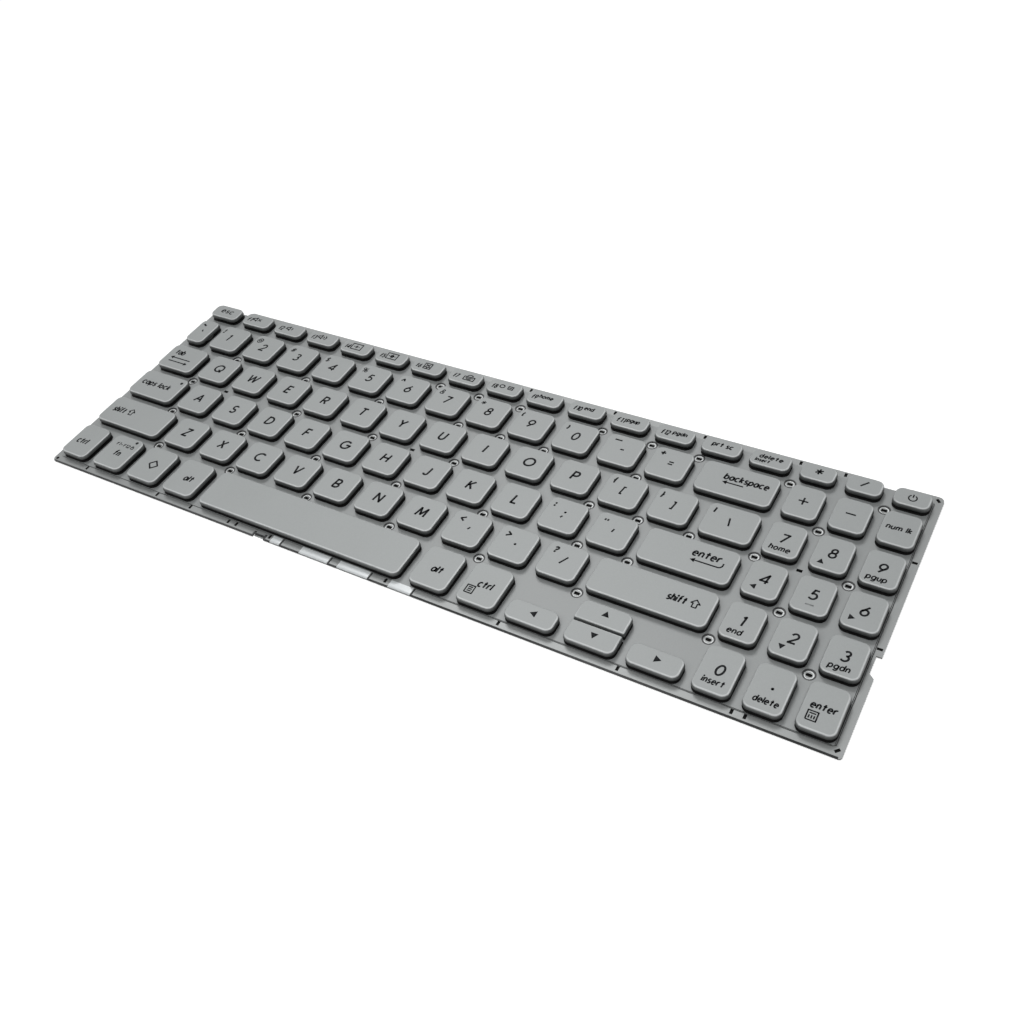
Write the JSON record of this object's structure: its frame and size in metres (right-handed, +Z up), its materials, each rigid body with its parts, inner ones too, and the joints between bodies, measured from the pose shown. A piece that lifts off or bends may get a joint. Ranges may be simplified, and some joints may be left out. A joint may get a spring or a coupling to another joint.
{
  "type": "laptop replacement keyboard",
  "caption": "Full-size laptop keyboard module with a number pad: low silver keycaps on scissor frames and rubber domes over a switch membrane and a stamped metal plate.",
  "frame": {"origin": "centre of the plate's outline, on its underside", "axes": "+X along the key rows to the number pad, +Y to the function row, +Z up out of the keys"},
  "size_m": [0.3248, 0.1102, 0.0039],
  "materials": {
    "keycap_plastic": "silver-grey matte paint with dark printed legends",
    "plate_steel": "stamped sheet, dull silver",
    "membrane_film": "silver-printed polyester film",
    "dome_rubber": "milky silicone",
    "scissor_plastic": "natural white moulded acetal",
    "wire_steel": "bright drawn wire"
  },
  "bodies": {
    "base": {"base_plate": "plate_steel", "function_row_keycaps": "keycap_plastic", "membrane": "membrane_film", "number_pad_keycaps": "keycap_plastic", "number_row_keycaps": "keycap_plastic", "rubber_domes": "dome_rubber", "scissor_inner_frames": "scissor_plastic", "scissor_outer_frames": "scissor_plastic", "stabiliser_wires": "wire_steel"},
    "key_a": {"keycap_a": "keycap_plastic"},
    "key_apostrophe": {"keycap_apostrophe": "keycap_plastic"},
    "key_arrow_down": {"keycap_arrow_down": "keycap_plastic"},
    "key_arrow_left": {"keycap_arrow_left": "keycap_plastic"},
    "key_arrow_right": {"keycap_arrow_right": "keycap_plastic"},
    "key_arrow_up": {"keycap_arrow_up": "keycap_plastic"},
    "key_b": {"keycap_b": "keycap_plastic"},
    "key_backslash": {"keycap_backslash": "keycap_plastic"},
    "key_c": {"keycap_c": "keycap_plastic"},
    "key_caps_lock": {"keycap_caps_lock": "keycap_plastic"},
    "key_comma": {"keycap_comma": "keycap_plastic"},
    "key_d": {"keycap_d": "keycap_plastic"},
    "key_e": {"keycap_e": "keycap_plastic"},
    "key_enter": {"keycap_enter": "keycap_plastic"},
    "key_f": {"keycap_f": "keycap_plastic"},
    "key_fn": {"keycap_fn": "keycap_plastic"},
    "key_full_stop": {"keycap_full_stop": "keycap_plastic"},
    "key_g": {"keycap_g": "keycap_plastic"},
    "key_h": {"keycap_h": "keycap_plastic"},
    "key_i": {"keycap_i": "keycap_plastic"},
    "key_j": {"keycap_j": "keycap_plastic"},
    "key_k": {"keycap_k": "keycap_plastic"},
    "key_l": {"keycap_l": "keycap_plastic"},
    "key_left_alt": {"keycap_left_alt": "keycap_plastic"},
    "key_left_bracket": {"keycap_left_bracket": "keycap_plastic"},
    "key_left_ctrl": {"keycap_left_ctrl": "keycap_plastic"},
    "key_left_shift": {"keycap_left_shift": "keycap_plastic"},
    "key_m": {"keycap_m": "keycap_plastic"},
    "key_n": {"keycap_n": "keycap_plastic"},
    "key_o": {"keycap_o": "keycap_plastic"},
    "key_p": {"keycap_p": "keycap_plastic"},
    "key_power": {"keycap_power": "keycap_plastic"},
    "key_q": {"keycap_q": "keycap_plastic"},
    "key_r": {"keycap_r": "keycap_plastic"},
    "key_right_alt": {"keycap_right_alt": "keycap_plastic"},
    "key_right_bracket": {"keycap_right_bracket": "keycap_plastic"},
    "key_right_ctrl": {"keycap_right_ctrl": "keycap_plastic"},
    "key_right_shift": {"keycap_right_shift": "keycap_plastic"},
    "key_s": {"keycap_s": "keycap_plastic"},
    "key_semicolon": {"keycap_semicolon": "keycap_plastic"},
    "key_slash": {"keycap_slash": "keycap_plastic"},
    "key_space": {"keycap_space": "keycap_plastic"},
    "key_start": {"keycap_start": "keycap_plastic"},
    "key_t": {"keycap_t": "keycap_plastic"},
    "key_tab": {"keycap_tab": "keycap_plastic"},
    "key_u": {"keycap_u": "keycap_plastic"},
    "key_v": {"keycap_v": "keycap_plastic"},
    "key_w": {"keycap_w": "keycap_plastic"},
    "key_x": {"keycap_x": "keycap_plastic"},
    "key_y": {"keycap_y": "keycap_plastic"},
    "key_z": {"keycap_z": "keycap_plastic"}
  },
  "joints": [
    {"name": "press_a", "type": "slide", "parent": "base", "child": "key_a", "axis": [0, 0, -1], "range_m": [0, 0.0014], "stiffness_N_per_m": 300, "springref_m": -0.0006, "deforming": ["rubber_domes", "scissor_outer_frames", "scissor_inner_frames"]},
    {"name": "press_apostrophe", "type": "slide", "parent": "base", "child": "key_apostrophe", "axis": [0, 0, -1], "range_m": [0, 0.0014], "stiffness_N_per_m": 300, "springref_m": -0.0006, "deforming": ["rubber_domes", "scissor_outer_frames", "scissor_inner_frames"]},
    {"name": "press_arrow_down", "type": "slide", "parent": "base", "child": "key_arrow_down", "axis": [0, 0, -1], "range_m": [0, 0.0014], "stiffness_N_per_m": 300, "springref_m": -0.0006, "deforming": ["rubber_domes"]},
    {"name": "press_arrow_left", "type": "slide", "parent": "base", "child": "key_arrow_left", "axis": [0, 0, -1], "range_m": [0, 0.0014], "stiffness_N_per_m": 300, "springref_m": -0.0006, "deforming": ["rubber_domes"]},
    {"name": "press_arrow_right", "type": "slide", "parent": "base", "child": "key_arrow_right", "axis": [0, 0, -1], "range_m": [0, 0.0014], "stiffness_N_per_m": 300, "springref_m": -0.0006, "deforming": ["rubber_domes"]},
    {"name": "press_arrow_up", "type": "slide", "parent": "base", "child": "key_arrow_up", "axis": [0, 0, -1], "range_m": [0, 0.0014], "stiffness_N_per_m": 300, "springref_m": -0.0006, "deforming": ["rubber_domes"]},
    {"name": "press_b", "type": "slide", "parent": "base", "child": "key_b", "axis": [0, 0, -1], "range_m": [0, 0.0014], "stiffness_N_per_m": 300, "springref_m": -0.0006, "deforming": ["rubber_domes", "scissor_outer_frames", "scissor_inner_frames"]},
    {"name": "press_backslash", "type": "slide", "parent": "base", "child": "key_backslash", "axis": [0, 0, -1], "range_m": [0, 0.0014], "stiffness_N_per_m": 300, "springref_m": -0.0006, "deforming": ["rubber_domes", "scissor_outer_frames", "scissor_inner_frames"]},
    {"name": "press_c", "type": "slide", "parent": "base", "child": "key_c", "axis": [0, 0, -1], "range_m": [0, 0.0014], "stiffness_N_per_m": 300, "springref_m": -0.0006, "deforming": ["rubber_domes", "scissor_outer_frames", "scissor_inner_frames"]},
    {"name": "press_caps_lock", "type": "slide", "parent": "base", "child": "key_caps_lock", "axis": [0, 0, -1], "range_m": [0, 0.0014], "stiffness_N_per_m": 300, "springref_m": -0.0006, "deforming": ["rubber_domes", "scissor_outer_frames", "scissor_inner_frames"]},
    {"name": "press_comma", "type": "slide", "parent": "base", "child": "key_comma", "axis": [0, 0, -1], "range_m": [0, 0.0014], "stiffness_N_per_m": 300, "springref_m": -0.0006, "deforming": ["rubber_domes", "scissor_outer_frames", "scissor_inner_frames"]},
    {"name": "press_d", "type": "slide", "parent": "base", "child": "key_d", "axis": [0, 0, -1], "range_m": [0, 0.0014], "stiffness_N_per_m": 300, "springref_m": -0.0006, "deforming": ["rubber_domes", "scissor_outer_frames", "scissor_inner_frames"]},
    {"name": "press_e", "type": "slide", "parent": "base", "child": "key_e", "axis": [0, 0, -1], "range_m": [0, 0.0014], "stiffness_N_per_m": 300, "springref_m": -0.0006, "deforming": ["rubber_domes", "scissor_outer_frames", "scissor_inner_frames"]},
    {"name": "press_enter", "type": "slide", "parent": "base", "child": "key_enter", "axis": [0, 0, -1], "range_m": [0, 0.0014], "stiffness_N_per_m": 300, "springref_m": -0.0006, "deforming": ["rubber_domes", "scissor_outer_frames", "scissor_inner_frames", "stabiliser_wires"]},
    {"name": "press_f", "type": "slide", "parent": "base", "child": "key_f", "axis": [0, 0, -1], "range_m": [0, 0.0014], "stiffness_N_per_m": 300, "springref_m": -0.0006, "deforming": ["rubber_domes", "scissor_outer_frames", "scissor_inner_frames"]},
    {"name": "press_fn", "type": "slide", "parent": "base", "child": "key_fn", "axis": [0, 0, -1], "range_m": [0, 0.0014], "stiffness_N_per_m": 300, "springref_m": -0.0006, "deforming": ["rubber_domes"]},
    {"name": "press_full_stop", "type": "slide", "parent": "base", "child": "key_full_stop", "axis": [0, 0, -1], "range_m": [0, 0.0014], "stiffness_N_per_m": 300, "springref_m": -0.0006, "deforming": ["rubber_domes", "scissor_outer_frames", "scissor_inner_frames"]},
    {"name": "press_g", "type": "slide", "parent": "base", "child": "key_g", "axis": [0, 0, -1], "range_m": [0, 0.0014], "stiffness_N_per_m": 300, "springref_m": -0.0006, "deforming": ["rubber_domes", "scissor_outer_frames", "scissor_inner_frames"]},
    {"name": "press_h", "type": "slide", "parent": "base", "child": "key_h", "axis": [0, 0, -1], "range_m": [0, 0.0014], "stiffness_N_per_m": 300, "springref_m": -0.0006, "deforming": ["rubber_domes", "scissor_outer_frames", "scissor_inner_frames"]},
    {"name": "press_i", "type": "slide", "parent": "base", "child": "key_i", "axis": [0, 0, -1], "range_m": [0, 0.0014], "stiffness_N_per_m": 300, "springref_m": -0.0006, "deforming": ["rubber_domes", "scissor_outer_frames", "scissor_inner_frames"]},
    {"name": "press_j", "type": "slide", "parent": "base", "child": "key_j", "axis": [0, 0, -1], "range_m": [0, 0.0014], "stiffness_N_per_m": 300, "springref_m": -0.0006, "deforming": ["rubber_domes", "scissor_outer_frames", "scissor_inner_frames"]},
    {"name": "press_k", "type": "slide", "parent": "base", "child": "key_k", "axis": [0, 0, -1], "range_m": [0, 0.0014], "stiffness_N_per_m": 300, "springref_m": -0.0006, "deforming": ["rubber_domes", "scissor_outer_frames", "scissor_inner_frames"]},
    {"name": "press_l", "type": "slide", "parent": "base", "child": "key_l", "axis": [0, 0, -1], "range_m": [0, 0.0014], "stiffness_N_per_m": 300, "springref_m": -0.0006, "deforming": ["rubber_domes", "scissor_outer_frames", "scissor_inner_frames"]},
    {"name": "press_left_alt", "type": "slide", "parent": "base", "child": "key_left_alt", "axis": [0, 0, -1], "range_m": [0, 0.0014], "stiffness_N_per_m": 300, "springref_m": -0.0006, "deforming": ["rubber_domes"]},
    {"name": "press_left_bracket", "type": "slide", "parent": "base", "child": "key_left_bracket", "axis": [0, 0, -1], "range_m": [0, 0.0014], "stiffness_N_per_m": 300, "springref_m": -0.0006, "deforming": ["rubber_domes", "scissor_outer_frames", "scissor_inner_frames"]},
    {"name": "press_left_ctrl", "type": "slide", "parent": "base", "child": "key_left_ctrl", "axis": [0, 0, -1], "range_m": [0, 0.0014], "stiffness_N_per_m": 300, "springref_m": -0.0006, "deforming": ["rubber_domes"]},
    {"name": "press_left_shift", "type": "slide", "parent": "base", "child": "key_left_shift", "axis": [0, 0, -1], "range_m": [0, 0.0014], "stiffness_N_per_m": 300, "springref_m": -0.0006, "deforming": ["rubber_domes", "scissor_outer_frames", "scissor_inner_frames", "stabiliser_wires"]},
    {"name": "press_m", "type": "slide", "parent": "base", "child": "key_m", "axis": [0, 0, -1], "range_m": [0, 0.0014], "stiffness_N_per_m": 300, "springref_m": -0.0006, "deforming": ["rubber_domes", "scissor_outer_frames", "scissor_inner_frames"]},
    {"name": "press_n", "type": "slide", "parent": "base", "child": "key_n", "axis": [0, 0, -1], "range_m": [0, 0.0014], "stiffness_N_per_m": 300, "springref_m": -0.0006, "deforming": ["rubber_domes", "scissor_outer_frames", "scissor_inner_frames"]},
    {"name": "press_o", "type": "slide", "parent": "base", "child": "key_o", "axis": [0, 0, -1], "range_m": [0, 0.0014], "stiffness_N_per_m": 300, "springref_m": -0.0006, "deforming": ["rubber_domes", "scissor_outer_frames", "scissor_inner_frames"]},
    {"name": "press_p", "type": "slide", "parent": "base", "child": "key_p", "axis": [0, 0, -1], "range_m": [0, 0.0014], "stiffness_N_per_m": 300, "springref_m": -0.0006, "deforming": ["rubber_domes", "scissor_outer_frames", "scissor_inner_frames"]},
    {"name": "press_power", "type": "slide", "parent": "base", "child": "key_power", "axis": [0, 0, -1], "range_m": [0, 0.0014], "stiffness_N_per_m": 300, "springref_m": -0.0006, "deforming": ["rubber_domes"]},
    {"name": "press_q", "type": "slide", "parent": "base", "child": "key_q", "axis": [0, 0, -1], "range_m": [0, 0.0014], "stiffness_N_per_m": 300, "springref_m": -0.0006, "deforming": ["rubber_domes", "scissor_outer_frames", "scissor_inner_frames"]},
    {"name": "press_r", "type": "slide", "parent": "base", "child": "key_r", "axis": [0, 0, -1], "range_m": [0, 0.0014], "stiffness_N_per_m": 300, "springref_m": -0.0006, "deforming": ["rubber_domes", "scissor_outer_frames", "scissor_inner_frames"]},
    {"name": "press_right_alt", "type": "slide", "parent": "base", "child": "key_right_alt", "axis": [0, 0, -1], "range_m": [0, 0.0014], "stiffness_N_per_m": 300, "springref_m": -0.0006, "deforming": ["rubber_domes"]},
    {"name": "press_right_bracket", "type": "slide", "parent": "base", "child": "key_right_bracket", "axis": [0, 0, -1], "range_m": [0, 0.0014], "stiffness_N_per_m": 300, "springref_m": -0.0006, "deforming": ["rubber_domes", "scissor_outer_frames", "scissor_inner_frames"]},
    {"name": "press_right_ctrl", "type": "slide", "parent": "base", "child": "key_right_ctrl", "axis": [0, 0, -1], "range_m": [0, 0.0014], "stiffness_N_per_m": 300, "springref_m": -0.0006, "deforming": ["rubber_domes"]},
    {"name": "press_right_shift", "type": "slide", "parent": "base", "child": "key_right_shift", "axis": [0, 0, -1], "range_m": [0, 0.0014], "stiffness_N_per_m": 300, "springref_m": -0.0006, "deforming": ["rubber_domes", "scissor_outer_frames", "scissor_inner_frames", "stabiliser_wires"]},
    {"name": "press_s", "type": "slide", "parent": "base", "child": "key_s", "axis": [0, 0, -1], "range_m": [0, 0.0014], "stiffness_N_per_m": 300, "springref_m": -0.0006, "deforming": ["rubber_domes", "scissor_outer_frames", "scissor_inner_frames"]},
    {"name": "press_semicolon", "type": "slide", "parent": "base", "child": "key_semicolon", "axis": [0, 0, -1], "range_m": [0, 0.0014], "stiffness_N_per_m": 300, "springref_m": -0.0006, "deforming": ["rubber_domes", "scissor_outer_frames", "scissor_inner_frames"]},
    {"name": "press_slash", "type": "slide", "parent": "base", "child": "key_slash", "axis": [0, 0, -1], "range_m": [0, 0.0014], "stiffness_N_per_m": 300, "springref_m": -0.0006, "deforming": ["rubber_domes", "scissor_outer_frames", "scissor_inner_frames"]},
    {"name": "press_space", "type": "slide", "parent": "base", "child": "key_space", "axis": [0, 0, -1], "range_m": [0, 0.0014], "stiffness_N_per_m": 300, "springref_m": -0.0006, "deforming": ["rubber_domes", "stabiliser_wires"]},
    {"name": "press_start", "type": "slide", "parent": "base", "child": "key_start", "axis": [0, 0, -1], "range_m": [0, 0.0014], "stiffness_N_per_m": 300, "springref_m": -0.0006, "deforming": ["rubber_domes"]},
    {"name": "press_t", "type": "slide", "parent": "base", "child": "key_t", "axis": [0, 0, -1], "range_m": [0, 0.0014], "stiffness_N_per_m": 300, "springref_m": -0.0006, "deforming": ["rubber_domes", "scissor_outer_frames", "scissor_inner_frames"]},
    {"name": "press_tab", "type": "slide", "parent": "base", "child": "key_tab", "axis": [0, 0, -1], "range_m": [0, 0.0014], "stiffness_N_per_m": 300, "springref_m": -0.0006, "deforming": ["rubber_domes", "scissor_outer_frames", "scissor_inner_frames"]},
    {"name": "press_u", "type": "slide", "parent": "base", "child": "key_u", "axis": [0, 0, -1], "range_m": [0, 0.0014], "stiffness_N_per_m": 300, "springref_m": -0.0006, "deforming": ["rubber_domes", "scissor_outer_frames", "scissor_inner_frames"]},
    {"name": "press_v", "type": "slide", "parent": "base", "child": "key_v", "axis": [0, 0, -1], "range_m": [0, 0.0014], "stiffness_N_per_m": 300, "springref_m": -0.0006, "deforming": ["rubber_domes", "scissor_outer_frames", "scissor_inner_frames"]},
    {"name": "press_w", "type": "slide", "parent": "base", "child": "key_w", "axis": [0, 0, -1], "range_m": [0, 0.0014], "stiffness_N_per_m": 300, "springref_m": -0.0006, "deforming": ["rubber_domes", "scissor_outer_frames", "scissor_inner_frames"]},
    {"name": "press_x", "type": "slide", "parent": "base", "child": "key_x", "axis": [0, 0, -1], "range_m": [0, 0.0014], "stiffness_N_per_m": 300, "springref_m": -0.0006, "deforming": ["rubber_domes", "scissor_outer_frames", "scissor_inner_frames"]},
    {"name": "press_y", "type": "slide", "parent": "base", "child": "key_y", "axis": [0, 0, -1], "range_m": [0, 0.0014], "stiffness_N_per_m": 300, "springref_m": -0.0006, "deforming": ["rubber_domes", "scissor_outer_frames", "scissor_inner_frames"]},
    {"name": "press_z", "type": "slide", "parent": "base", "child": "key_z", "axis": [0, 0, -1], "range_m": [0, 0.0014], "stiffness_N_per_m": 300, "springref_m": -0.0006, "deforming": ["rubber_domes", "scissor_outer_frames", "scissor_inner_frames"]}
  ]
}
